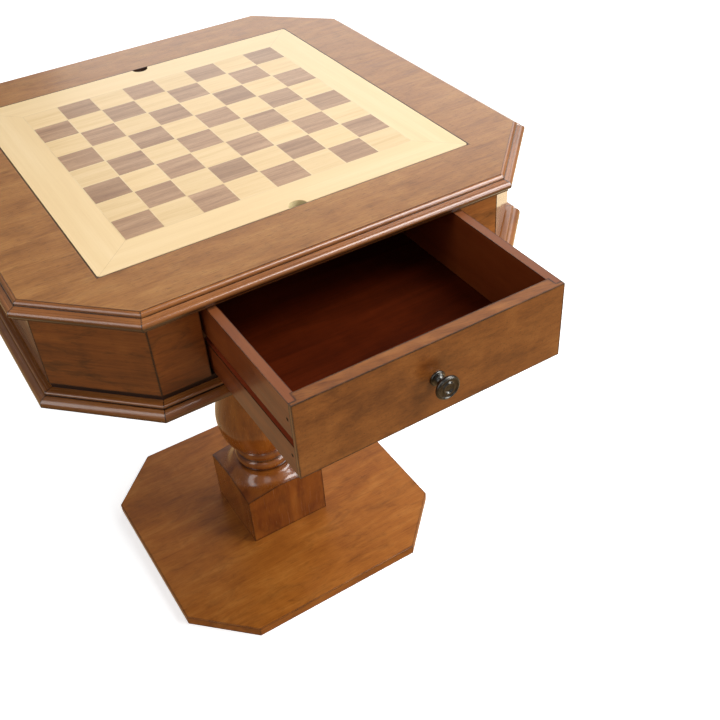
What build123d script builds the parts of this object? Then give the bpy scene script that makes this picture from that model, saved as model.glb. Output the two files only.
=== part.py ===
"""Pedestal gaming table: octagonal top with a lift-out chessboard, one drawer, a turned column.

Millimetres. Z = 0 is the floor under the centre of the base plate, +Z up, the drawer opens towards -Y.
The drawer is drawn partly open, which is the rest pose. Every piece of wood and hardware is its own solid.
"""
import os
from math import sqrt
from build123d import *

# ---- driving dimensions -------------------------------------------------------------------
TOP_Z = 772.0               # table top above the floor
TOP_HALF = 355.0            # centre to the outermost line of the top's edge moulding
TOP_CLIP = 110.5            # how much of each corner the octagon clips off, at TOP_HALF
TOP_THICK = 20.0            # top panel with its veneer
VENEER = 0.7                # face veneer of the top and of the board
EDGING_WIDTH = 30.0         # solid edging round the top
ARRIS_SET_BACK = 14.8       # outermost line back to the flat top's edge

SQUARE_PITCH = 50.0         # chess square with one line
LINE_WIDTH = 1.6            # light stringing between the squares
SQUARES = 8
BOARD_SIZE = 506.0
BOARD_THICK = 12.0
BOARD_BACKING = 0.6
BOARD_GAP = 1.0             # clearance round the board in its recess
BOARD_FLOAT = 0.4           # clearance under the board
BOARD_CORNER_R = 4.5
NOTCH_R = 12.0              # half-round finger notches at the board's front and back edges
BED_REBATE = 10.0           # how far the panel under the board reaches past the recess

APRON_SET_BACK = 18.5       # outermost line of the top back to the apron's face
APRON_HIGH = 104.0
APRON_THICK = 16.0
DECK_THICK = 7.0            # board that closes the case below
DECK_SET_BACK = 2.0         # deck's edge behind the apron's face: a dark line all round
LOWER_HALF = 355.0          # lower moulding
LOWER_HIGH = 16.0
LOWER_WIDTH = 45.0

OPENING_HALF = 175.0        # drawer opening
BAY_THICK = 16.0
RUNNER_WIDE = 8.5
RUNNER_CLEAR = 0.6
RUNNER_END = 5.0            # back end of the runners, just past the axis

DRAWER_OPEN = 204.0         # how far the drawer stands out at rest
DRAWER_LONG = 330.0
DRAWER_HALF = 170.5
DRAWER_LOW = 2.3            # drawer's lower edge above the deck
DRAWER_HIGH = 100.2
FRONT_THICK = 17.5
FRONT_LIP = 5.2             # front's face standing over the sides' ends
FRONT_TONGUE = 3.4          # how far the rest of the front is let into each side
SIDE_THICK = 12.0
GROOVE_HIGH = 12.5
GROOVE_DEEP = 6.0
GROOVE_UP = 40.0            # groove above the drawer's lower edge
PANEL_THICK = 5.0           # drawer bottom
PANEL_UP = 8.0
PANEL_IN = 5.0              # depth of the bottom's groove in front and sides
BRAD_R = 2.0
BRAD_HEAD = 1.6
BRAD_LONG = 28.0
BRAD_SUNK = 0.6             # brads' heads below the sides' faces
BRAD_BACK = 12.0            # brads behind the drawer's face
BRAD_UP = (24.5, 74.5)      # brads above the drawer's lower edge

BASE_HALF = 243.0
BASE_CLIP = 91.0
BASE_THICK = 17.0
BASE_ROUND = 1.5

POST_HALF = 73.2            # square blocks at both ends of the column
POST_BLOCK = 98.6           # lower block up to its corners
POST_TOP_BLOCK = 48.0
POST_BLANK = 112.0          # lathe outline's reach, past the blocks' corners that the square trims
POST_CORNER_DROP = 3.0      # how far the shoulder has fallen at that reach
SHOULDER_HIGH = 70.4        # turned shoulder, rings and quirk between a block's corners and the vase
CLEAT_HALF = 140.0
CLEAT_CLIP = 40.0
CLEAT_THICK = 20.0
SCREW_OFFSET = 40.0         # column screws from the axis, each way
SCREW_INTO_POST = 50.0      # how far the base screws reach into the column
TOP_SCREW_INTO_POST = 40.0
SCREW_SUNK = 5.0            # base screws' heads above the floor, in wide counterbores
COUNTERBORE_R = 10.0
CLEAT_SCREW_OFFSET = 115.0
CLEAT_SCREW_INTO_DECK = 6.0

BLOCK_LEG = 22.0            # glue blocks in the case's corners
BLOCK_HIGH = 60.0

SIDES = ["front", "front_right", "right", "back_right", "back", "back_left", "left", "front_left"]
CLIP_STEP = 2 - sqrt(2)     # clip lost for each millimetre that an octagon shrinks

# ---- heights that follow ------------------------------------------------------------------
top_under = TOP_Z - TOP_THICK
veneer_under = TOP_Z - VENEER
apron_low = top_under - APRON_HIGH
deck_low = apron_low - DECK_THICK
lower_low = deck_low - LOWER_HIGH
post_top = deck_low - CLEAT_THICK
apron_half = TOP_HALF - APRON_SET_BACK
apron_inner = apron_half - APRON_THICK
board_half = BOARD_SIZE / 2
recess_half = board_half + BOARD_GAP
board_under = TOP_Z - BOARD_THICK
bed_top = board_under - BOARD_FLOAT
field_half = (SQUARES * SQUARE_PITCH + LINE_WIDTH) / 2
drawer_face = -apron_half - DRAWER_OPEN
drawer_back = drawer_face + DRAWER_LONG
drawer_low = apron_low + DRAWER_LOW
drawer_top = drawer_low + DRAWER_HIGH
groove_low = drawer_low + GROOVE_UP


# ---- helpers ------------------------------------------------------------------------------
def block(x0, x1, y0, y1, z0, z1):
    """Box between two corners."""
    return Pos((x0 + x1) / 2, (y0 + y1) / 2, (z0 + z1) / 2) * Box(x1 - x0, y1 - y0, z1 - z0)


def rod(x, y, z0, z1, radius):
    """Upright cylinder."""
    return Pos(x, y, (z0 + z1) / 2) * Cylinder(radius, z1 - z0)


def prism(points, z0, z1):
    """Straight-sided solid on a flat outline."""
    return Pos(0, 0, z0) * extrude(make_face(Polyline(*points, close=True)), z1 - z0)


def octagon(half, clip):
    """Corners of a square with clipped corners, from the front edge's left end, anticlockwise."""
    a, b = half - clip, half
    return [(-a, -b), (a, -b), (b, -a), (b, a), (a, b), (-a, b), (-b, a), (-b, -a)]


def case_octagon(half):
    """The octagon parallel to the table top's edge."""
    return octagon(half, TOP_CLIP - (TOP_HALF - half) * CLIP_STEP)


def mitred(outer, inner, side, z0, z1):
    """One mitred length of an octagonal ring."""
    o, i = case_octagon(outer), case_octagon(inner)
    nxt = (side + 1) % 8
    return prism([o[side], o[nxt], i[nxt], i[side]], z0, z1)


def outward(side):
    """Outward normal of a side."""
    directions = [(0, -1), (1, -1), (1, 0), (1, 1), (0, 1), (-1, 1), (-1, 0), (-1, -1)]
    x, y = directions[side]
    return Vector(x, y, 0).normalized()


def side_reach(half, side):
    """Distance from the axis to a side of the case octagon."""
    clip = TOP_CLIP - (TOP_HALF - half) * CLIP_STEP
    return half if side % 2 == 0 else (2 * half - clip) / sqrt(2)


def moulding(half, width, top, height, outline, side):
    """A mitred length: outline(reach) gives the edge wires in (distance from axis, height)."""
    normal = outward(side)
    along = normal.cross(Vector(0, 0, 1))
    section = Plane(origin=(0, 0, 0), x_dir=normal, z_dir=along)
    face = make_face(outline(side_reach(half, side), top))
    bar = extrude(section * face, half, both=True)
    return bar & mitred(half + 5, half - width, side, top - height - 1, top + 1)


def top_edge(reach, top):
    """Top moulding: quarter-round shoulder, quirk, sloping band, large bead and fillet."""
    def at(back, down):
        return (reach - back, top - down)
    return [
        Line(at(EDGING_WIDTH, VENEER), at(ARRIS_SET_BACK, VENEER)),
        ThreePointArc(at(ARRIS_SET_BACK, VENEER), at(11.6, 2.0), at(10.2, 5.2)),
        Polyline(at(10.2, 5.2), at(10.2, 6.0), at(9.6, 6.0), at(5.6, 7.64)),
        ThreePointArc(at(5.6, 7.64), at(0, 12.6), at(4.2, 17.53)),
        Polyline(at(4.2, 17.53), at(4.2, TOP_THICK), at(EDGING_WIDTH, TOP_THICK), at(EDGING_WIDTH, VENEER)),
    ]


def lower_edge(reach, top):
    """Lower moulding: ledge with a small roll, quirk, large ovolo and a square foot."""
    def at(back, down):
        return (reach - back, top - down)
    return [
        Line(at(LOWER_WIDTH, 0), at(12.2, 0)),
        ThreePointArc(at(12.2, 0), at(9.4, 2.0), at(10.6, 4.6)),
        Polyline(at(10.6, 4.6), at(10.8, 5.6), at(9.8, 5.4)),
        ThreePointArc(at(9.8, 5.4), at(2.6, 8.2), at(0, 13.2)),
        Polyline(at(0, 13.2), at(0, LOWER_HIGH), at(LOWER_WIDTH, LOWER_HIGH), at(LOWER_WIDTH, 0)),
    ]


def wood_screw(x, y, z_head, z_tip, head_r, shank_r):
    """Screw along Z with a countersunk head at z_head and a pointed tip at z_tip."""
    up = 1 if z_tip > z_head else -1
    cone = head_r - shank_r
    profile = Polyline(
        (0, z_head), (head_r, z_head), (shank_r, z_head + up * cone),
        (shank_r, z_tip - up * 2 * shank_r), (0, z_tip), close=True)
    return Pos(x, y, 0) * revolve(Plane.XZ * make_face(profile), Axis.Z)


def screw_places(offset):
    """Four places on a square about the axis."""
    return [(x, y) for x in (-offset, offset) for y in (-offset, offset)]


def base_screws():
    """From the base plate's counterbores up into the column."""
    tip = BASE_THICK + SCREW_INTO_POST
    return [wood_screw(x, y, SCREW_SUNK, tip, 7, 4) for x, y in screw_places(SCREW_OFFSET)]


def column_top_screws():
    """Through the cleat down into the column."""
    tip = post_top - TOP_SCREW_INTO_POST
    return [wood_screw(x, y, deck_low, tip, 7, 3.5) for x, y in screw_places(SCREW_OFFSET)]


def cleat_screws():
    """Eight screws round the cleat, up into the deck."""
    r = CLEAT_SCREW_OFFSET
    places = screw_places(r * 0.75) + [(r, 0), (-r, 0), (0, r), (0, -r)]
    return [wood_screw(x, y, post_top, deck_low + CLEAT_SCREW_INTO_DECK, 4.5, 2.2) for x, y in places]


def minus(solid, cutters):
    for cutter in cutters:
        solid -= cutter
    return solid


# ---- the column ---------------------------------------------------------------------------
def ringed_shoulder(z_corner, up):
    """Lathe outline from a block's corner to the vase: swept shoulder, two rings, quirk."""
    def at(radius, rise):
        return (radius, z_corner + up * rise)
    return [
        Spline(at(POST_BLANK, -POST_CORNER_DROP), at(90, 4.5), at(73, 10.6), at(66, 16), at(60.5, 22),
               at(55, 26.5), at(48, 28.5)),
        Line(at(48, 28.5), at(46.5, 29.5)),
        ThreePointArc(at(46.5, 29.5), at(51.5, 38.5), at(45.5, 47.5)),
        Line(at(45.5, 47.5), at(45, 49)),
        ThreePointArc(at(45, 49), at(49.5, 58), at(44.5, 67)),
        Polyline(at(44.5, 67), at(44, 68.5), at(46.5, SHOULDER_HIGH)),
    ]


def pedestal_column():
    """Square post turned between its end blocks: rings, a vase and rings again."""
    low = BASE_THICK + POST_BLOCK
    high = post_top - POST_TOP_BLOCK
    vase_low = low + SHOULDER_HIGH
    vase_high = high - SHOULDER_HIGH
    vase = Spline(
        (46.5, vase_low), (61.5, vase_low + 12), (69.8, vase_low + 36), (72.3, vase_low + 58),
        (68.0, vase_low + 88), (55, vase_low + 140), (41.5, vase_low + 200), (36.5, vase_low + 252),
        (39, vase_high - 22), (46.5, vase_high))
    ends = Polyline((POST_BLANK, low - POST_CORNER_DROP), (POST_BLANK, BASE_THICK), (0, BASE_THICK),
                    (0, post_top), (POST_BLANK, post_top), (POST_BLANK, high + POST_CORNER_DROP))
    outline = [ends] + ringed_shoulder(low, 1) + [vase] + ringed_shoulder(high, -1)
    turned = revolve(Plane.XZ * make_face(outline), Axis.Z)
    post = turned & block(-POST_HALF, POST_HALF, -POST_HALF, POST_HALF, BASE_THICK, post_top)
    return minus(post, base_screws() + column_top_screws())


def base_plate():
    plate = prism(octagon(BASE_HALF, BASE_CLIP), 0, BASE_THICK)
    plate = fillet(plate.faces().sort_by(Axis.Z)[-1].edges(), BASE_ROUND)
    counterbores = [rod(x, y, 0, SCREW_SUNK, COUNTERBORE_R) for x, y in screw_places(SCREW_OFFSET)]
    return minus(plate, counterbores + base_screws())


def top_cleat():
    cleat = prism(octagon(CLEAT_HALF, CLEAT_CLIP), post_top, deck_low)
    cleat = fillet(cleat.faces().sort_by(Axis.Z)[0].edges(), 3)
    return minus(cleat, column_top_screws() + cleat_screws())


def deck():
    """Board that closes the case below."""
    board = prism(case_octagon(apron_half - DECK_SET_BACK), deck_low, apron_low)
    return minus(board, cleat_screws())


# ---- the case -----------------------------------------------------------------------------
def apron_panels():
    """Apron pieces by name: the front is in two, either side of the drawer opening."""
    pieces = {}
    for side, name in enumerate(SIDES):
        pieces[name] = mitred(apron_half, apron_inner, side, apron_low, top_under)
    front = pieces.pop("front")
    gap = block(-OPENING_HALF, OPENING_HALF, -400, -300, apron_low, top_under)
    left, right = (front - gap).solids().sort_by(Axis.X)
    pieces["front_of_left"] = left
    pieces["front_of_right"] = right
    return pieces


def bay_side(hand):
    """Partition beside the drawer, from the front apron to the back apron."""
    x0, x1 = sorted((hand * OPENING_HALF, hand * (OPENING_HALF + BAY_THICK)))
    return block(x0, x1, -apron_inner, apron_inner, apron_low, top_under)


def runner(hand):
    """Wooden runner on a partition, which the drawer side's groove rides on."""
    x0, x1 = sorted((hand * OPENING_HALF, hand * (OPENING_HALF - RUNNER_WIDE)))
    low = groove_low + RUNNER_CLEAR
    return block(x0, x1, -apron_inner, RUNNER_END, low, groove_low + GROOVE_HIGH - RUNNER_CLEAR)


def drawer_stops():
    """One block behind each side of the closed drawer."""
    closed_back = -apron_half + DRAWER_LONG
    stops = []
    for hand in (-1, 1):
        x0, x1 = sorted((hand * OPENING_HALF, hand * (DRAWER_HALF - SIDE_THICK + 1)))
        stops.append(block(x0, x1, closed_back + 0.6, closed_back + 14, groove_low + 14, groove_low + 44))
    return stops


def glue_blocks():
    """Three-cornered blocks that hold the apron's mitres from inside."""
    corners = case_octagon(apron_inner)
    middle = (apron_low + top_under) / 2
    blocks = []
    for i, corner in enumerate(corners):
        here = Vector(*corner)
        before = (Vector(*corners[i - 1]) - here).normalized() * BLOCK_LEG
        after = (Vector(*corners[(i + 1) % 8]) - here).normalized() * BLOCK_LEG
        points = [(p.X, p.Y) for p in (here, here + after, here + before)]
        blocks.append(prism(points, middle - BLOCK_HIGH / 2, middle + BLOCK_HIGH / 2))
    return blocks


# ---- the top ------------------------------------------------------------------------------
def square_hole(half, radius, z0, z1):
    """Upright square cutter with rounded corners."""
    return Pos(0, 0, z0) * extrude(RectangleRounded(2 * half, 2 * half, radius), z1 - z0)


def top_rails():
    """Core of the top round the recess: two full-length rails and two between them."""
    core = prism(case_octagon(TOP_HALF - EDGING_WIDTH), top_under, veneer_under)
    bed_half = recess_half + BED_REBATE
    core -= block(-bed_half, bed_half, -bed_half, bed_half, top_under, bed_top)
    far = 400
    cuts = {
        "front": (-far, far, -far, -recess_half),
        "back": (-far, far, recess_half, far),
        "left": (-far, -recess_half, -recess_half, recess_half),
        "right": (recess_half, far, -recess_half, recess_half),
    }
    return {name: core & block(*cut, top_under, veneer_under) for name, cut in cuts.items()}


def board_bed():
    """Panel in the rebate under the board."""
    half = recess_half + BED_REBATE
    return block(-half, half, -half, half, top_under, bed_top)


def top_veneer():
    """Face veneer over the rails and the edging, up to the top's edge and the recess."""
    sheet = prism(case_octagon(TOP_HALF - ARRIS_SET_BACK), veneer_under, TOP_Z)
    return sheet - square_hole(recess_half, BOARD_CORNER_R + 0.5, veneer_under, TOP_Z)


# ---- the lift-out board -------------------------------------------------------------------
def notched(solid):
    """The half-round finger notches, through the board's front and back edges."""
    for y in (-board_half, board_half):
        solid -= rod(0, y, board_under - 1, TOP_Z + 1, NOTCH_R)
    return solid


def board_slab(z0, z1):
    return notched(square_hole(board_half, BOARD_CORNER_R, z0, z1))


def board_border():
    """Light border veneer in four mitred strips."""
    frame = board_slab(veneer_under, TOP_Z)
    frame -= block(-field_half, field_half, -field_half, field_half, veneer_under, TOP_Z)
    b, f = board_half, field_half
    strips = []
    for turn in range(4):
        wedge = prism([(-b, -b), (b, -b), (f, -f), (-f, -f)], veneer_under, TOP_Z)
        strips.append(frame & (Rot(0, 0, 90 * turn) * wedge))
    return strips


def square_centres(dark):
    """Centres of the dark or the light squares; the corner at the left of the front is dark."""
    first = -(SQUARES - 1) / 2 * SQUARE_PITCH
    places = []
    for i in range(SQUARES):
        for j in range(SQUARES):
            if ((i + j) % 2 == 0) == dark:
                places.append((first + i * SQUARE_PITCH, first + j * SQUARE_PITCH))
    return places


def veneer_squares(dark):
    half = (SQUARE_PITCH - LINE_WIDTH) / 2
    return [
        block(x - half, x + half, y - half, y + half, veneer_under, TOP_Z)
        for x, y in square_centres(dark)]


def board_stringing():
    """Grid of light lines between the squares."""
    grid = block(-field_half, field_half, -field_half, field_half, veneer_under, TOP_Z)
    return grid - veneer_squares(True) - veneer_squares(False)


# ---- the drawer ---------------------------------------------------------------------------
def drawer_panel():
    """Thin bottom, let into the front and the sides and running out under the back."""
    half = DRAWER_HALF - SIDE_THICK + PANEL_IN
    low = drawer_low + PANEL_UP
    return block(-half, half, drawer_face + FRONT_THICK - PANEL_IN, drawer_back, low, low + PANEL_THICK)


def brads(out=-BRAD_SUNK):
    """Two brads through each side into the front, their heads ending at `out` from the side's face."""
    head_in = -BRAD_SUNK - BRAD_HEAD
    head = Pos(0, 0, (out + head_in) / 2) * Cylinder(BRAD_R, out - head_in)
    shank = Pos(0, 0, (head_in - BRAD_LONG) / 2) * Cylinder(0.9, BRAD_LONG + head_in)
    solids = []
    for hand in (-1, 1):
        for up in BRAD_UP:
            place = Pos(hand * DRAWER_HALF, drawer_face + BRAD_BACK, drawer_low + up)
            solids.append(place * Rot(0, hand * 90, 0) * (head + shank))
    return solids


def brad_holes():
    return brads(out=0)


def drawer_front():
    """Front with its face lipped over the sides' ends and the rest let into them."""
    half = DRAWER_HALF - SIDE_THICK + FRONT_TONGUE
    lip = block(-DRAWER_HALF, DRAWER_HALF, drawer_face, drawer_face + FRONT_LIP, drawer_low, drawer_top)
    body = block(-half, half, drawer_face, drawer_face + FRONT_THICK, drawer_low, drawer_top)
    return minus(lip + body, [drawer_panel(), knob_bolt()] + brad_holes())


def drawer_side(hand):
    """Side rebated for the front, grooved outside for the runner and inside for the bottom."""
    def across(outer, inner, y0, y1, z0, z1):
        x0, x1 = sorted((hand * outer, hand * inner))
        return block(x0, x1, y0, y1, z0, z1)
    inner = DRAWER_HALF - SIDE_THICK
    start = drawer_face + FRONT_LIP
    side = across(DRAWER_HALF, inner, start, drawer_back, drawer_low, drawer_top)
    rebate = across(inner + FRONT_TONGUE, inner, start, drawer_face + FRONT_THICK, drawer_low, drawer_top)
    groove = across(DRAWER_HALF, DRAWER_HALF - GROOVE_DEEP, start, drawer_back,
                    groove_low, groove_low + GROOVE_HIGH)
    return minus(side, [rebate, groove, drawer_panel()] + brad_holes())


def drawer_back_board():
    half = DRAWER_HALF - SIDE_THICK
    low = drawer_low + PANEL_UP + PANEL_THICK
    return block(-half, half, drawer_back - SIDE_THICK, drawer_back, low, drawer_top - 3)


knob_z = (drawer_low + drawer_top) / 2


def knob():
    """Turned metal knob: stepped foot, waisted stem and a dished disc with a raised ring."""
    outline = [
        Polyline((2, 0), (9.5, 0), (9.5, 1.2)),
        ThreePointArc((9.5, 1.2), (8.8, 2.6), (7.4, 3.0)),
        Line((7.4, 3.0), (7.4, 4.4)),
        ThreePointArc((7.4, 4.4), (5.0, 7.4), (5.2, 11.0)),
        ThreePointArc((5.2, 11.0), (7.2, 14.4), (13.2, 16.2)),
        ThreePointArc((13.2, 16.2), (15.0, 18.6), (13.4, 21.2)),
        ThreePointArc((13.4, 21.2), (12.6, 21.6), (11.8, 21.0)),
        ThreePointArc((11.8, 21.0), (9.8, 20.0), (8.0, 20.6)),
        ThreePointArc((8.0, 20.6), (6.8, 22.2), (5.4, 20.8)),
        Polyline((5.4, 20.8), (4.6, 20.2), (0, 20.2), (0, 12), (2, 12), (2, 0)),
    ]
    turned = revolve(Plane.XZ * make_face(outline), Axis.Z)
    return Pos(0, drawer_face, knob_z) * Rot(90, 0, 0) * turned


def knob_bolt():
    """Machine screw from inside the drawer into the knob."""
    reach = FRONT_THICK + 10
    shank = Pos(0, 0, 10 - reach / 2) * Cylinder(2, reach)
    head = Pos(0, 0, -FRONT_THICK - 1.1) * Cylinder(4.5, 2.2)
    return Pos(0, drawer_face, knob_z) * Rot(90, 0, 0) * (shank + head)


# ---- all nodes ----------------------------------------------------------------------------
def solids_of(shape):
    """Flat list of the solids in a shape or a list of shapes."""
    shapes = shape if isinstance(shape, list) else [shape]
    return [solid for one in shapes for solid in one.solids()]


def build():
    nodes = {
        "base_plate": base_plate(),
        "base_screws": base_screws(),
        "pedestal_column": pedestal_column(),
        "top_cleat": top_cleat(),
        "column_top_screws": column_top_screws(),
        "cleat_screws": cleat_screws(),
        "case_deck": deck(),
        "bay_side_left": bay_side(-1),
        "bay_side_right": bay_side(1),
        "drawer_runner_left": runner(-1),
        "drawer_runner_right": runner(1),
        "drawer_stops": drawer_stops(),
        "glue_blocks": glue_blocks(),
        "board_bed": board_bed(),
        "top_veneer": top_veneer(),
        "board_core": board_slab(board_under + BOARD_BACKING, veneer_under),
        "board_backing": board_slab(board_under, board_under + BOARD_BACKING),
        "board_border": board_border(),
        "board_stringing": board_stringing(),
        "squares_dark": veneer_squares(True),
        "squares_light": veneer_squares(False),
        "drawer_front": drawer_front(),
        "drawer_side_left": drawer_side(-1),
        "drawer_side_right": drawer_side(1),
        "drawer_back": drawer_back_board(),
        "drawer_bottom": drawer_panel(),
        "drawer_knob": knob(),
        "knob_bolt": knob_bolt(),
        "drawer_brads": brads(),
    }
    for name, rail in top_rails().items():
        nodes[f"top_rail_{name}"] = rail
    for name, panel in apron_panels().items():
        nodes[f"apron_{name}"] = panel
    for side, name in enumerate(SIDES):
        nodes[f"top_moulding_{name}"] = moulding(TOP_HALF, EDGING_WIDTH, TOP_Z, TOP_THICK, top_edge, side)
        nodes[f"lower_moulding_{name}"] = moulding(
            LOWER_HALF, LOWER_WIDTH, deck_low, LOWER_HIGH, lower_edge, side)
    return nodes


os.makedirs("parts", exist_ok=True)
for node, shape in build().items():
    pieces = solids_of(shape)
    whole = pieces[0] if len(pieces) == 1 else Compound(children=pieces)
    export_step(whole, f"parts/{node}.step")
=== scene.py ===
"""Looks of the pedestal gaming table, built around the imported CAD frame.

Metres, in the part's own frame: origin on the floor under the centre of the base plate, +Z up, the
drawer opens towards -Y. Colours of wood and metal are sRGB 0-255, as they are read off a screen; the
colours of the floor, the lights and the world are linear, 0-1.
"""
import math
import bpy
from mathutils import Matrix, Vector


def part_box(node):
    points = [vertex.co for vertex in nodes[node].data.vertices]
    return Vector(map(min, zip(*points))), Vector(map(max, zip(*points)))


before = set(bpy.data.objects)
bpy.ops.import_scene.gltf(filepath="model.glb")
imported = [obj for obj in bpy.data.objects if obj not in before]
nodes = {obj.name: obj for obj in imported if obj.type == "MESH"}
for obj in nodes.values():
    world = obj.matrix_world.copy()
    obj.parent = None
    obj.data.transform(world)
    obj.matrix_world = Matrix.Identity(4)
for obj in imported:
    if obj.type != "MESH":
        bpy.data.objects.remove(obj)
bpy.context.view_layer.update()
scene = bpy.context.scene

MM = 0.001


def srgb(colour):
    """Linear RGBA from sRGB 0-255."""
    shares = [c / 255 for c in colour]
    return (*(c / 12.92 if c <= 0.04045 else ((c + 0.055) / 1.055) ** 2.4 for c in shares), 1.0)


def darker(colour, share):
    """An sRGB colour with only this share of its light."""
    return [c * share for c in colour]


# ---- camera ---------------------------------------------------------------------------------
CAMERA_AT = Vector((-0.4433, -1.1749, 1.3754))
HEADING = math.radians(30.29)       # to the right of +Y
LOOK_DOWN = math.radians(40.02)
ROLL = math.radians(-3.53)
FOCAL_PIXELS = 972.8
FRAME_PIXELS = 720
SENSOR = 36.0                       # width, mm
NEAREST = 0.01                      # what is nearer to the camera isn't drawn
CENTRE_OFFSET = (16.5, 1.8)         # optical centre, pixels right of and below the frame's centre


def make_camera():
    """The photograph's view."""
    ahead = math.cos(LOOK_DOWN)
    forward = Vector((math.sin(HEADING) * ahead, math.cos(HEADING) * ahead, -math.sin(LOOK_DOWN)))
    level = forward.cross(Vector((0, 0, 1))).normalized()
    upright = level.cross(forward)
    right = level * math.cos(ROLL) + upright * math.sin(ROLL)
    up = upright * math.cos(ROLL) - level * math.sin(ROLL)
    data = bpy.data.cameras.new("camera")
    data.sensor_width = SENSOR
    data.lens = FOCAL_PIXELS * SENSOR / FRAME_PIXELS
    data.shift_x = -CENTRE_OFFSET[0] / FRAME_PIXELS
    data.shift_y = CENTRE_OFFSET[1] / FRAME_PIXELS
    data.clip_start = NEAREST
    camera = bpy.data.objects.new("camera", data)
    scene.collection.objects.link(camera)
    turn = Matrix((right, up, -forward)).transposed()
    camera.matrix_world = Matrix.Translation(CAMERA_AT) @ turn.to_4x4()
    scene.camera = camera


# ---- node-tree helper -----------------------------------------------------------------------
TONE_HALF = 0.17                    # half of the noise range that three tones are spread over
EDGE_STARTS = 0.992                 # cosine between flat and bevelled normal where an edge begins
MIX_RGBA_INPUTS = (0, 6, 7)         # the Mix node's sockets when it mixes colours
MIX_RGBA_OUTPUT = 2


class Shader:
    """A material's node tree, with one short method for each kind of node."""

    def __init__(self, name):
        self.material = bpy.data.materials.new(name)
        self.material.use_nodes = True
        self.tree = self.material.node_tree
        self.surface = self.tree.nodes["Principled BSDF"]
        self.place = self.node("ShaderNodeTexCoord").outputs["Object"]

    def node(self, kind, **settings):
        made = self.tree.nodes.new(kind)
        for key, value in settings.items():
            setattr(made, key, value)
        return made

    def feed(self, socket, value):
        if isinstance(value, bpy.types.NodeSocket):
            self.tree.links.new(value, socket)
        else:
            socket.default_value = value

    def math(self, operation, a, b=0.0):
        made = self.node("ShaderNodeMath", operation=operation)
        self.feed(made.inputs[0], a)
        self.feed(made.inputs[1], b)
        return made.outputs[0]

    def times(self, a, b):
        return self.math("MULTIPLY", a, b)

    def plus(self, a, b):
        return self.math("ADD", a, b)

    def size(self, a):
        return self.math("ABSOLUTE", a)

    def vector(self, operation, a, b=(0, 0, 0)):
        made = self.node("ShaderNodeVectorMath", operation=operation)
        self.feed(made.inputs[0], a)
        self.feed(made.inputs[1], b)
        return made.outputs["Value" if operation == "DOT_PRODUCT" else "Vector"]

    def turned(self, where, rotation, shift=(0, 0, 0)):
        made = self.node("ShaderNodeMapping")
        self.feed(made.inputs["Vector"], where)
        made.inputs["Rotation"].default_value = rotation
        made.inputs["Location"].default_value = shift
        return made.outputs[0]

    def split(self, where):
        made = self.node("ShaderNodeSeparateXYZ")
        self.feed(made.inputs[0], where)
        return made.outputs

    def join(self, x, y, z):
        made = self.node("ShaderNodeCombineXYZ")
        for socket, value in zip(made.inputs, (x, y, z)):
            self.feed(socket, value)
        return made.outputs[0]

    def noise(self, where, scale=1.0, detail=2.0, roughness=0.5, distortion=0.0):
        made = self.node("ShaderNodeTexNoise")
        self.feed(made.inputs["Vector"], where)
        made.inputs["Scale"].default_value = scale
        made.inputs["Detail"].default_value = detail
        made.inputs["Roughness"].default_value = roughness
        made.inputs["Distortion"].default_value = distortion
        return made.outputs["Fac"]

    def grain(self, lay, cells, **settings):
        """Noise with this many cells per metre along the texture's X and across it."""
        along, across = cells
        return self.noise(self.vector("MULTIPLY", lay, (along, across, across)), **settings)

    def random(self, where):
        made = self.node("ShaderNodeTexWhiteNoise")
        self.feed(made.inputs["Vector"], where)
        return made.outputs

    def spread(self, value, low, high, to_low=0.0, to_high=1.0):
        """Maps low...high onto to_low...to_high and holds the ends; low may be above high."""
        made = self.node("ShaderNodeMapRange")
        self.feed(made.inputs["Value"], value)
        made.inputs["From Min"].default_value = low
        made.inputs["From Max"].default_value = high
        made.inputs["To Min"].default_value = to_low
        made.inputs["To Max"].default_value = to_high
        return made.outputs["Result"]

    def ramp(self, value, stops):
        made = self.node("ShaderNodeValToRGB")
        ramp = made.color_ramp
        while len(ramp.elements) < len(stops):
            ramp.elements.new(0.5)
        for element, (position, colour) in zip(ramp.elements, stops):
            element.position = position
            element.color = srgb(colour)
        self.feed(made.inputs[0], value)
        return made.outputs[0]

    def three_tones(self, value, tones, half):
        """Dark, middle and light tone, the outer two at this distance from the middle of a noise."""
        return self.ramp(value, [(0.5 - half, tones[0]), (0.5, tones[1]), (0.5 + half, tones[2])])

    def mix(self, amount, a, b):
        made = self.node("ShaderNodeMix", data_type="RGBA")
        factor, first, second = (made.inputs[i] for i in MIX_RGBA_INPUTS)
        self.feed(factor, amount)
        self.feed(first, a)
        self.feed(second, b)
        return made.outputs[MIX_RGBA_OUTPUT]

    def edges(self, radius, full=0.92):
        """1 along sharp edges and in grooves, falling to 0 about one radius away.

        It compares the flat normal with a bevelled one: `full` is their cosine where it reaches 1.
        """
        bevel = self.node("ShaderNodeBevel", samples=6)
        bevel.inputs["Radius"].default_value = radius
        flat = self.node("ShaderNodeNewGeometry").outputs["Normal"]
        return self.spread(self.vector("DOT_PRODUCT", bevel.outputs[0], flat), EDGE_STARTS, full)

    def from_square_axis(self):
        """Distance from the upright axis as a square measures it: the larger of |x| and |y|."""
        x, y, _ = self.split(self.place)
        return self.math("MAXIMUM", self.size(x), self.size(y))

    def from_axis(self):
        """Distance from the upright axis."""
        x, y, _ = self.split(self.place)
        return self.math("SQRT", self.plus(self.math("POWER", x, 2.0), self.math("POWER", y, 2.0)))

    def upward(self):
        """Height of the surface's normal: 1 looking up, 0 upright, -1 looking down."""
        return self.split(self.node("ShaderNodeNewGeometry").outputs["Normal"])[2]

    def facing_up(self):
        """1 on faces that look up, 0 on upright ones."""
        return self.spread(self.upward(), 0.7, 0.9)

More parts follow.
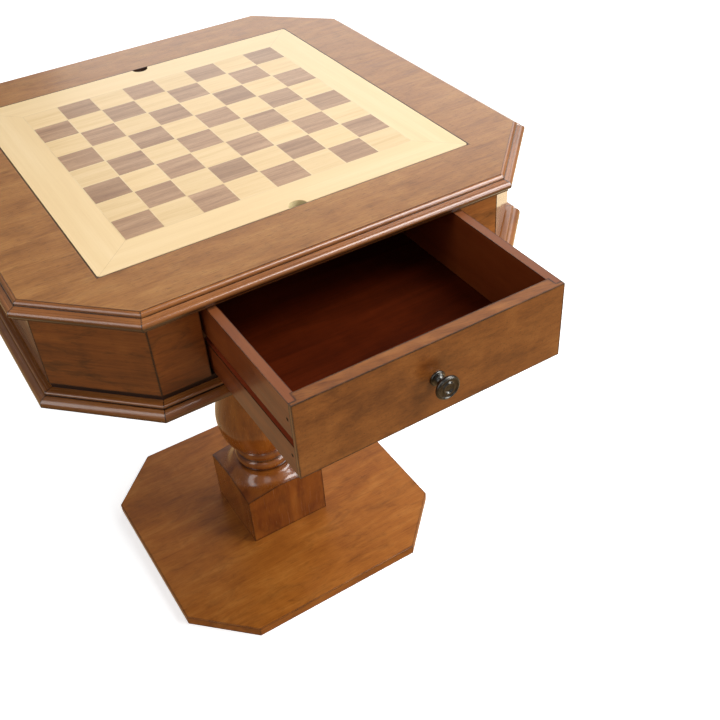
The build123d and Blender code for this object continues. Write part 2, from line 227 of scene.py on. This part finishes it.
    def bump(self, height, strength, distance):
        """Small relief in the surface: `distance` is the relief's depth, metres."""
        made = self.node("ShaderNodeBump")
        made.inputs["Strength"].default_value = strength
        made.inputs["Distance"].default_value = distance
        self.feed(made.inputs["Height"], height)
        self.feed(self.surface.inputs["Normal"], made.outputs[0])

    def set(self, **values):
        """Sets or links the surface's sockets, written with _ for the spaces in their names."""
        for key, value in values.items():
            self.feed(self.surface.inputs[key.replace("_", " ")], value)


# ---- wood -----------------------------------------------------------------------------------
# Noise cells per metre, along and across the grain.
STREAK_CELLS = (14, 420)
RIPPLE_CELLS = (55, 9)
CLOUD_CELLS = (3, 6)
PORE_CELLS = (95, 1500)
GLAZE_CELLS = (15, 40)
FLECK_CELLS = (45, 60, 60)          # of the cells that may each hold one fleck
SKIN_CELLS = 140                    # of the lacquer's unevenness
WEAR_CELLS = 60                     # of what breaks up the darkened edges

SEED_STEP = (1.37, 0.71, 2.13)      # each seed moves the wood this far through the noise
BODY_SHARE = 0.74                   # of the tone, for mottling and streaks together
RIPPLE_SHARE, CLOUD_SHARE = 0.10, 0.16
PORE_SHADE, GLAZE_SHADE = 0.55, 0.5     # shares of the darkest tone
FLECK = (48, 26, 16)
END_GRAIN = (92, 40, 12)
END_GRAIN_FADE = 26 * MM
GROOVE_REACH = 8 * MM               # how far behind the face a groove's painted light reaches
STAIN = 0.6                         # strength of the stains on upper faces and linings
END_GRAIN_TINT, END_GRAIN_ROUGHER = 0.4, 0.2
SHARP_FULL, SOFT_FULL = 0.95, 0.8   # cosines where sharp and soft edges are at their darkest
SOFT_STRENGTH = 0.5
RIM_STRENGTH = 0.9
# Painted shade: the rim of a square recess is darkened where the board's gap is.
RIM_OUTER, RIM_INNER = 1.5 * MM, 0.4 * MM   # a recess's dark rim fades between these distances
SKIN_DEPTH = 0.12 * MM


def grain_turn(direction):
    """Mapping rotation that lays the grain along the texture's X: an angle in the plan, or 'up'."""
    return (0, math.radians(90), 0) if direction == "up" else (0, 0, -math.radians(direction))


def fleck_mask(s, lay):
    """1 inside small round flecks, one in each of a few cells."""
    cells = s.node("ShaderNodeTexVoronoi")
    s.feed(cells.inputs["Vector"], s.vector("MULTIPLY", lay, FLECK_CELLS))
    chosen = s.spread(s.split(cells.outputs["Color"])[0], 0.86, 0.88)
    return s.times(s.spread(cells.outputs["Distance"], 0.085, 0.035), chosen)


def groove_mask(s, low, high, face):
    """1 between two heights on what is sunk behind the faces at |x| = face."""
    x, _, z = s.split(s.place)
    side = s.size(x)
    within = s.times(s.math("GREATER_THAN", z, low), s.math("LESS_THAN", z, high))
    sunk = s.times(s.math("LESS_THAN", side, face), s.math("GREATER_THAN", side, face - GROOVE_REACH))
    return s.times(within, sunk)


def edge_mask(s, size):
    """Sharp edges and grooves, broken up as by handling: edge dirt, painted shade in grooves."""
    worn = s.noise(s.place, WEAR_CELLS, detail=4, roughness=0.6)
    return s.times(s.edges(size, SHARP_FULL), s.spread(worn, 0.26, 0.52, 0.45, 1.0))


def wood(name, direction, tones, seed, rough=0.34, coat=0.25, coat_rough=0.16, shine=0.5,
         figure=(5, 30), streaks=0.24, contrast=1.0, pores=0.35, specks=0.5, smudge=0.0, slant=0.0,
         edge=None, edge_size=2.4 * MM, soft_shade_band=None, upper=None, under=0.0, shaded_recess_half=None,
         groove=None, lining=None, dull=None):
    """Stained, lacquered wood: mottling and streaks along the grain, pores, flecks and darkened edges.

    figure is the mottling's cells per metre along and across the grain, streaks the share that fine
    streaks have in the tone, and slant an angle that turns the figure out of the grain's direction.
    contrast is how hard the three tones are pulled apart. pores, specks and smudge are the strengths
    of pores, flecks and a patchy dark glaze.
    edge is the colour of sharp edges and grooves, edge_size wide: dark glaze and old dirt on the
    edges, painted shade in the grooves. It is also the colour of more painted shade: a faint
    band soft_shade_band wide along edges, faces that look down (under is how strongly) and the
    rim of a square recess (shaded_recess_half is its half-width). upper is a colour for faces that
    look up. groove is (low, high, face, light) for a groove whose colour is painted light, and
    lining (inner, lining colour) for what is nearer to the middle than |x| = inner. dull is the
    radius beyond which faces that look up are end grain.
    """
    s = Shader(name)
    lay = s.turned(s.place, grain_turn(direction), [seed * step for step in SEED_STEP])
    if slant:
        lay = s.turned(lay, (0, 0, slant))

    mottle = s.grain(lay, figure, detail=4, roughness=0.6, distortion=0.8)
    streak = s.grain(lay, STREAK_CELLS, detail=3, roughness=0.65)
    ripple = s.grain(lay, RIPPLE_CELLS, detail=2, distortion=0.4)
    cloud = s.grain(lay, CLOUD_CELLS, detail=2)
    tone = s.plus(s.times(mottle, BODY_SHARE - streaks), s.times(streak, streaks))
    tone = s.plus(tone, s.times(ripple, RIPPLE_SHARE))
    tone = s.plus(tone, s.times(cloud, CLOUD_SHARE))
    colour = s.three_tones(tone, tones, TONE_HALF / contrast)

    # Lays a colour over the wood: stains, dirt and glaze, and painted shade and light as well.
    def stain_and_painted_light(amount, stain_and_light_colour):
        nonlocal colour
        colour = s.mix(amount, colour, srgb(stain_and_light_colour))

    pore = s.spread(s.grain(lay, PORE_CELLS, detail=1), 0.60, 0.72)
    stain_and_painted_light(s.times(pore, pores), darker(tones[0], PORE_SHADE))
    if specks:
        stain_and_painted_light(s.times(fleck_mask(s, lay), specks), FLECK)
    if smudge:
        glaze = s.grain(lay, GLAZE_CELLS, detail=6, roughness=0.68, distortion=1.2)
        stain_and_painted_light(s.spread(glaze, 0.50, 0.72, 0.0, smudge), darker(tones[0], GLAZE_SHADE))
    if upper:
        stain_and_painted_light(s.times(s.facing_up(), STAIN), upper)
    # Painted shade: faces that look down are darkened.
    if under:
        stain_and_painted_light(s.spread(s.upward(), 0.50, -0.25, 0, under), edge)
    if lining:
        inner, lining_stain = lining
        inside = s.math("LESS_THAN", s.size(s.split(s.place)[0]), inner)
        stain_and_painted_light(s.times(inside, STAIN), lining_stain)
    # Painted light: the groove's floor and walls get a lighter colour.
    if groove:
        *where, groove_light = groove
        stain_and_painted_light(groove_mask(s, *where), groove_light)
    if dull:
        end_grain = s.times(s.facing_up(), s.spread(s.from_axis(), dull, dull + END_GRAIN_FADE))
        stain_and_painted_light(s.times(end_grain, END_GRAIN_TINT), END_GRAIN)
    # Painted shade along the rim of a square recess.
    if shaded_recess_half:
        away = s.math("SUBTRACT", s.from_square_axis(), shaded_recess_half)
        stain_and_painted_light(s.spread(away, RIM_OUTER, RIM_INNER, 0, RIM_STRENGTH), edge)
    # Painted shade: a faint dark band along edges and grooves.
    if soft_shade_band:
        stain_and_painted_light(s.times(s.edges(soft_shade_band, SOFT_FULL), SOFT_STRENGTH), edge)
    # Dirt and glaze on sharp edges; in grooves and creases the darkening is painted shade.
    if edge:
        stain_and_painted_light(edge_mask(s, edge_size), edge)

    roughness = s.spread(streak, 0.3, 0.7, rough - 0.05, rough + 0.07)
    if dull:
        roughness = s.plus(roughness, s.times(end_grain, END_GRAIN_ROUGHER))
    s.set(Base_Color=colour, Roughness=roughness, Coat_Weight=coat, Coat_Roughness=coat_rough,
          Specular_IOR_Level=shine)
    skin = s.times(s.noise(s.place, SKIN_CELLS, detail=2), 0.5)
    s.bump(s.plus(s.times(pore, -0.6), skin), 0.25, SKIN_DEPTH)
    return s.material


# ---- palette --------------------------------------------------------------------------------
TOP_TONES = ((130, 80, 35), (162, 108, 54), (181, 130, 71))
EDGE_TONES = ((112, 62, 26), (152, 92, 42), (174, 112, 56))
APRON_TONES = ((98, 46, 12), (138, 74, 26), (162, 94, 38))
COLUMN_TONES = ((112, 52, 16), (160, 90, 30), (186, 114, 44))
BASE_TONES = ((132, 70, 20), (168, 98, 32), (192, 122, 52))
FRONT_TONES = ((104, 54, 18), (142, 84, 34), (166, 106, 50))
# Painted light: lighter tones for the apron front right of the drawer.
LIT_TONES = ((130, 74, 28), (172, 106, 46), (194, 128, 62))
SIDE_TONES = ((98, 38, 13), (134, 65, 25), (156, 85, 39))
INSIDE_TONES = ((46, 10, 1), (70, 21, 2), (88, 30, 5))
RAW_TONES = ((120, 78, 48), (150, 104, 68), (172, 126, 86))
# Dark wood painted darker still as shade: the recess walls and the deck strip.
DARK_AND_SHADE_TONES = ((34, 16, 8), (50, 25, 12), (64, 34, 18))
CORE_TONES = ((236, 216, 160), (244, 226, 172), (250, 234, 186))
LINE_TONES = ((220, 186, 136), (234, 204, 154), (243, 218, 174))
BORDER_TONES = ((236, 203, 150), (241, 210, 158), (246, 217, 169))
DARK_SQUARE_TONES = ((146, 108, 80), (174, 136, 103), (195, 157, 123))
LIGHT_SQUARE_TONES = ((220, 184, 128), (234, 202, 149), (242, 212, 164))
# It is also the colour of painted shade on downward faces and along the column's edges.
DIRT_AND_SHADE = (34, 17, 10)              # dirt and glaze on edges, painted shade in grooves
# Darker veneer edges, and painted shade along the recess rim around the board.
VENEER_EDGE_AND_RIM_SHADE = (70, 38, 22)
MITRE_SEAM = (150, 104, 60)
DRAWER_TOP_EDGE = (128, 76, 42)
# Painted light for the drawer side's groove.
DRAWER_GROOVE_LIGHT = (156, 70, 36)
DRAWER_LINING = (118, 46, 12)
PEWTER, PEWTER_BRIGHT = (100, 98, 94), (220, 218, 212)
STEEL, STEEL_BRIGHT = (150, 150, 152), (214, 214, 216)
BRAD, BRAD_BRIGHT = (70, 44, 32), (120, 84, 64)

# Direction of each side's length in the plan, degrees from +X.
SIDE_ANGLE = {"front": 0, "front_right": 45, "right": 90, "back_right": 135,
              "back": 0, "back_left": 45, "left": 90, "front_left": 135}
UNPOLISHED = {"rough": 0.6, "coat": 0.0}
END_GRAIN_FROM = 66 * MM            # radius on the column's shoulder where end grain begins to show
GROOVE_LOW, GROOVE_HIGH = 39 * MM, 53.5 * MM    # above the drawer side's lower edge
FRONT_SLANT = math.radians(14)      # of the drawer front's figure


def paint(node, material):
    """Gives a CAD node its one material."""
    slots = nodes[node].data.materials
    slots.clear()
    slots.append(material)


def paint_case():
    """Top, mouldings, case, column and base plate."""
    recess_half = -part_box("top_rail_left")[1][0]
    # The top veneer: darker along its edges, with painted shade at the rim around the board.
    paint("top_veneer", wood("top_veneer_wood", 0, TOP_TONES, 1, rough=0.36, figure=(12, 44),
                             streaks=0.32, contrast=1.1, pores=0.7, specks=1.0, smudge=0.2,
                             edge=VENEER_EDGE_AND_RIM_SHADE, edge_size=1.6 * MM, shaded_recess_half=recess_half))
    for i, (side, angle) in enumerate(SIDE_ANGLE.items()):
        # Mouldings: painted shade on faces that look down, dirt on edges, painted shade in quirks.
        edging = wood(f"edge_wood_{side}", angle, EDGE_TONES, 3 + i, rough=0.24, coat=0.9,
                      coat_rough=0.15, contrast=0.8, specks=0.35, under=0.85, edge=DIRT_AND_SHADE,
                      edge_size=1.8 * MM)
        paint(f"top_moulding_{side}", edging)
        paint(f"lower_moulding_{side}", edging)
        if side != "front":
            paint(f"apron_{side}", wood(f"apron_wood_{side}", angle, APRON_TONES, 20 + i, coat=0.8,
                                        coat_rough=0.07, shine=0.3, contrast=1.25, smudge=0.7,
                                        edge=DIRT_AND_SHADE, edge_size=2.8 * MM))
    # The apron right of the drawer is given lighter tones than the left: painted light.
    for side, tones, seed in (("left", APRON_TONES, 31), ("right", LIT_TONES, 33)):
        paint(f"apron_front_of_{side}", wood(f"apron_wood_front_{side}", 0, tones, seed, coat=0.1,
                                             shine=0.4, smudge=0.7, edge=DIRT_AND_SHADE, edge_size=2.8 * MM))
    raw = wood("carcase_wood", 0, RAW_TONES, 40, specks=0.2, **UNPOLISHED)
    for node in ("board_bed", "glue_blocks", "drawer_stops"):
        paint(node, raw)
    raw_deep = wood("carcase_wood_deep", 90, RAW_TONES, 41, specks=0.2, **UNPOLISHED)
    for node in ("bay_side_left", "bay_side_right", "drawer_runner_left", "drawer_runner_right"):
        paint(node, raw_deep)
    # Recess walls and deck strip: dark wood with painted shade.
    recess = wood("recess_wood", 0, DARK_AND_SHADE_TONES, 42, **UNPOLISHED)
    for side in ("front", "back", "left", "right"):
        paint(f"top_rail_{side}", recess)
    paint("case_deck", wood("deck_wood", 0, DARK_AND_SHADE_TONES, 43, **UNPOLISHED))
    paint("top_cleat", wood("cleat_wood", 0, APRON_TONES, 44, rough=0.5, coat=0.0, edge=DIRT_AND_SHADE))
    # The column: painted shade in a soft band along its edges and grooves.
    paint("pedestal_column", wood("column_wood", "up", COLUMN_TONES, 50, rough=0.22, coat=0.8,
                                  coat_rough=0.07, figure=(6, 26), streaks=0.08, pores=0.15,
                                  smudge=0.4, edge=DIRT_AND_SHADE, edge_size=3.5 * MM, soft_shade_band=10 * MM,
                                  dull=END_GRAIN_FROM))
    paint("base_plate", wood("base_wood", 0, BASE_TONES, 54, rough=0.36, shine=0.25, figure=(8, 30),
                             contrast=0.9, specks=1.0, smudge=0.4, edge=DIRT_AND_SHADE, edge_size=4 * MM))


def paint_drawer():
    """The drawer's box; its upper edges and lining are stained, its groove has painted light."""
    paint("drawer_front", wood("drawer_front_wood", 0, FRONT_TONES, 60, rough=0.34, figure=(14, 38),
                               contrast=1.1, pores=0.5, smudge=0.25, slant=FRONT_SLANT, edge=DIRT_AND_SHADE,
                               edge_size=3.6 * MM))
    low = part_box("drawer_side_left")[0][2]
    narrow, wide = (corner[0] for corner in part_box("drawer_side_right"))
    # The groove's colour is painted light.
    groove = (low + GROOVE_LOW, low + GROOVE_HIGH, wide - 1 * MM, DRAWER_GROOVE_LIGHT)
    side = wood("drawer_side_wood", 90, SIDE_TONES, 62, rough=0.38, specks=0.2, edge=DIRT_AND_SHADE,
                edge_size=2 * MM, upper=DRAWER_TOP_EDGE, groove=groove,
                lining=(narrow + 0.5 * MM, DRAWER_LINING))
    paint("drawer_side_left", side)
    paint("drawer_side_right", side)
    paint("drawer_back", wood("drawer_back_wood", 0, SIDE_TONES, 64, rough=0.4, specks=0.2))
    paint("drawer_bottom", wood("drawer_bottom_wood", 0, INSIDE_TONES, 66, specks=0.1, shine=0.05,
                                **UNPOLISHED))


# ---- board ----------------------------------------------------------------------------------
SQUARES_PER_METRE = 20
CUT_JUMP = 40                       # how far apart in the noise the squares' pieces may lie
SQUARE_BANDS, SQUARE_STREAKS, SQUARE_PORES = (6, 90), (16, 520), (110, 1700)    # cells per metre
BORDER_BANDS, BORDER_STREAKS = (4, 60), (12, 420)
BORDER_TONE_HALF = 0.20
BAND_SHARE, STREAK_SHARE = 0.6, 0.4
VENEER_COAT = {"Coat_Weight": 0.2, "Coat_Roughness": 0.2}


def veneer_tone(s, lay, band_cells, streak_cells, band, streak):
    """Tone of a veneer from broad bands and fine streaks, and the streaks by themselves."""
    bands = s.grain(lay, band_cells, **band)
    streaks = s.grain(lay, streak_cells, detail=3, **streak)
    return s.plus(s.times(bands, BAND_SHARE), s.times(streaks, STREAK_SHARE)), streaks


def squares(name, tones, seed, shade, contrast, pores):
    """Veneer squares: each one is cut from another piece of veneer, with its grain along X.

    shade is how much lighter or darker than the rest a square may be.
    """
    s = Shader(name)
    cell = s.vector("FLOOR", s.vector("MULTIPLY", s.place, (SQUARES_PER_METRE, SQUARES_PER_METRE, 0)))
    rand = s.random(s.vector("ADD", cell, (seed, seed * 0.5, 0.0)))
    lay = s.vector("ADD", s.place, s.vector("MULTIPLY", rand["Color"], (CUT_JUMP, CUT_JUMP, CUT_JUMP)))
    tone, streak = veneer_tone(s, lay, SQUARE_BANDS, SQUARE_STREAKS,
                               {"detail": 4, "roughness": 0.6, "distortion": 0.3}, {"roughness": 0.65})
    colour = s.three_tones(tone, tones, TONE_HALF / contrast)
    pore = s.spread(s.grain(lay, SQUARE_PORES, detail=1), 0.58, 0.70)
    colour = s.mix(s.times(pore, pores), colour, srgb(darker(tones[0], 0.6)))
    bright = s.node("ShaderNodeHueSaturation")
    s.feed(bright.inputs["Color"], colour)
    s.feed(bright.inputs["Value"], s.spread(rand["Value"], 0, 1, 1 - shade, 1 + shade))
    s.set(Base_Color=bright.outputs[0], **VENEER_COAT)
    s.set(Roughness=s.spread(streak, 0.3, 0.7, 0.32, 0.44))
    s.bump(s.times(pore, -1.0), 0.15, 0.08 * MM)
    return s.material


def border():
    """Pale border in four strips: the grain runs along each, and the mitres show as faint seams."""
    s = Shader("board_border_veneer")
    x, y, z = s.split(s.place)
    wide, deep = s.size(x), s.size(y)
    is_side = s.math("GREATER_THAN", wide, deep)
    lay = s.mix(is_side, s.join(x, y, z), s.join(y, x, z))
    tone, streak = veneer_tone(s, lay, BORDER_BANDS, BORDER_STREAKS,
                               {"detail": 3, "roughness": 0.55}, {"roughness": 0.6})
    colour = s.three_tones(tone, BORDER_TONES, BORDER_TONE_HALF)
    seam = s.spread(s.size(s.math("SUBTRACT", wide, deep)), 0.12 * MM, 0.5 * MM, 1, 0)
    colour = s.mix(s.times(seam, 0.35), colour, srgb(MITRE_SEAM))
    s.set(Base_Color=colour, **VENEER_COAT)
    s.set(Roughness=s.spread(streak, 0.3, 0.7, 0.30, 0.42))
    s.bump(streak, 0.08, 0.06 * MM)
    return s.material


def paint_board():
    """The loose board: border, lines and squares on a pale core, with a balancing veneer below."""
    paint("board_border", border())
    paint("board_stringing", wood("board_line_veneer", 0, LINE_TONES, 70, specks=0, pores=0.1))
    paint("squares_dark", squares("dark_square_veneer", DARK_SQUARE_TONES, 5, 0.08, 1.0, 0.35))
    paint("squares_light", squares("light_square_veneer", LIGHT_SQUARE_TONES, 9, 0.03, 0.8, 0.06))
    paint("board_core", wood("board_core_wood", 0, CORE_TONES, 72, rough=0.5, coat=0.0, specks=0.1))
    paint("board_backing", wood("board_backing_veneer", 0, TOP_TONES, 74, rough=0.45, specks=0.1))


# ---- metal ----------------------------------------------------------------------------------
PATINA_CELLS = 260


def metal(name, dark, bright, rough, wear=0.8 * MM):
    """Antiqued metal: dark patina that is rubbed bright on the edges, over a width of about wear."""
    s = Shader(name)
    patina = s.noise(s.place, PATINA_CELLS, detail=4, roughness=0.6)
    colour = s.ramp(patina, [(0.35, darker(dark, 0.75)), (0.65, dark)])
    rubbed = s.times(s.edges(wear), s.spread(patina, 0.35, 0.6, 0.3, 1.0))
    colour = s.mix(rubbed, colour, srgb(bright))
    s.set(Base_Color=colour, Metallic=1.0)
    s.set(Roughness=s.spread(rubbed, 0, 1, rough, rough * 0.6))
    s.bump(patina, 0.3, 0.05 * MM)
    return s.material


def paint_metal():
    """Knob, screws and brads."""
    paint("drawer_knob", metal("knob_metal", PEWTER, PEWTER_BRIGHT, 0.30))
    steel = metal("steel", STEEL, STEEL_BRIGHT, 0.3, wear=0.4 * MM)
    for node in ("knob_bolt", "base_screws", "column_top_screws", "cleat_screws"):
        paint(node, steel)
    paint("drawer_brads", metal("brad_metal", BRAD, BRAD_BRIGHT, 0.5, wear=0.3 * MM))


# ---- studio ---------------------------------------------------------------------------------
FLOOR_SIZE = 14
FLOOR_COLOUR = (0.92, 0.92, 0.92, 1)
WHITE = (1, 1, 1)
FLOOR_GLOW = (0.62, 0.40, 0.20, 1)      # light that comes up from a warm studio floor
WALL_GLOW = (0.20, 0.19, 0.18, 1)
SKY_GLOW = (0.30, 0.30, 0.30, 1)
GLOW_HEIGHTS = ((0.44, FLOOR_GLOW), (0.50, WALL_GLOW), (0.80, SKY_GLOW))    # 0 is down, 1 is up
LEFT_DIM, RIGHT_LIFT = 0.50, 1.20       # the room is brighter on the right

# Name, place, point it aims at, size, radiance and colour.
SOFTBOXES = (
    ("key", (1.8, -1.3, 3.35), (0, -0.1, 0.7), (2.1, 2.1), 7.8, WHITE),
    ("side_right", (2.3, 0.5, 2.2), (0.3, -0.2, 0.75), (1.1, 1.1), 1.3, WHITE),
    ("fill_right", (2.2, -2.8, 1.7), (0, -0.2, 0.6), (1.2, 1.2), 6.6, WHITE),
    ("fill_left", (-2.2, -0.6, 2.1), (-0.2, -0.3, 0.6), (0.7, 2.6), 2.4, WHITE),
    ("fill_front", (-1.2, -2.4, 2.3), (0, 0, 0.4), (0.9, 0.9), 1.2, WHITE),
    ("backdrop", (2.0, 2.8, 1.3), (0, 0, 1.1), (3.3, 2.9), 1.6, WHITE),
    ("bounce", (1.1, 0.1, 0.01), (1.1, 0.1, 1), (1.1, 1.1), 0.7, (1.0, 0.92, 0.66)),
)


def make_floor():
    """Pale floor. It takes shadows but throws no light back: the world's lower half does that."""
    bpy.ops.mesh.primitive_plane_add(size=FLOOR_SIZE, location=(0, 0, 0))
    floor = bpy.context.object
    floor.name = "studio_floor"
    s = Shader("floor")
    s.set(Base_Color=FLOOR_COLOUR, Roughness=0.9, Emission_Color=(*WHITE, 1), Emission_Strength=0.6)
    floor.data.materials.append(s.material)
    floor.visible_glossy = False
    floor.visible_diffuse = False


def softbox(name, place, aim, size, radiance, colour):
    """Rectangular light that the camera doesn't see; its power follows from radiance and size."""
    data = bpy.data.lights.new(name, "AREA")
    data.color = colour
    data.shape = "RECTANGLE"
    data.size, data.size_y = size
    data.energy = radiance * math.pi * size[0] * size[1]
    lamp = bpy.data.objects.new(name, data)
    scene.collection.objects.link(lamp)
    lamp.location = place
    lamp.rotation_euler = (Vector(aim) - Vector(place)).to_track_quat("-Z", "Y").to_euler()
    lamp.visible_camera = False


def make_world():
    """White behind the object; dim walls, a warm floor and a soft ceiling for everything it lights."""
    world = bpy.data.worlds.new("studio")
    scene.world = world
    world.use_nodes = True
    tree = world.node_tree
    for node in list(tree.nodes):
        tree.nodes.remove(node)
    add, link = tree.nodes.new, tree.links.new

    split = add("ShaderNodeSeparateXYZ")
    link(add("ShaderNodeTexCoord").outputs["Generated"], split.inputs[0])
    height = add("ShaderNodeMapRange")
    height.inputs["From Min"].default_value = -1
    link(split.outputs["Z"], height.inputs["Value"])
    glow = add("ShaderNodeValToRGB")
    stops = glow.color_ramp.elements
    stops.new(0.5)
    for stop, (position, colour) in zip(stops, GLOW_HEIGHTS):
        stop.position, stop.color = position, colour
    link(height.outputs["Result"], glow.inputs[0])
    sideways = add("ShaderNodeMapRange")
    for name, value in (("From Min", -1), ("To Min", LEFT_DIM), ("To Max", RIGHT_LIFT)):
        sideways.inputs[name].default_value = value
    link(split.outputs["X"], sideways.inputs["Value"])

    lit = add("ShaderNodeBackground")
    link(glow.outputs[0], lit.inputs["Color"])
    link(sideways.outputs["Result"], lit.inputs["Strength"])
    seen = add("ShaderNodeBackground")
    seen.inputs["Color"].default_value = (*WHITE, 1)
    both = add("ShaderNodeMixShader")
    link(add("ShaderNodeLightPath").outputs["Is Camera Ray"], both.inputs[0])
    link(lit.outputs[0], both.inputs[1])
    link(seen.outputs[0], both.inputs[2])
    link(both.outputs[0], add("ShaderNodeOutputWorld").inputs["Surface"])


def make_studio():
    """Floor, world, lights, and colours shown as they are."""
    make_floor()
    make_world()
    for light in SOFTBOXES:
        softbox(*light)
    scene.view_settings.view_transform = "Standard"
    scene.view_settings.look = "None"


make_camera()
paint_case()
paint_drawer()
paint_board()
paint_metal()
make_studio()
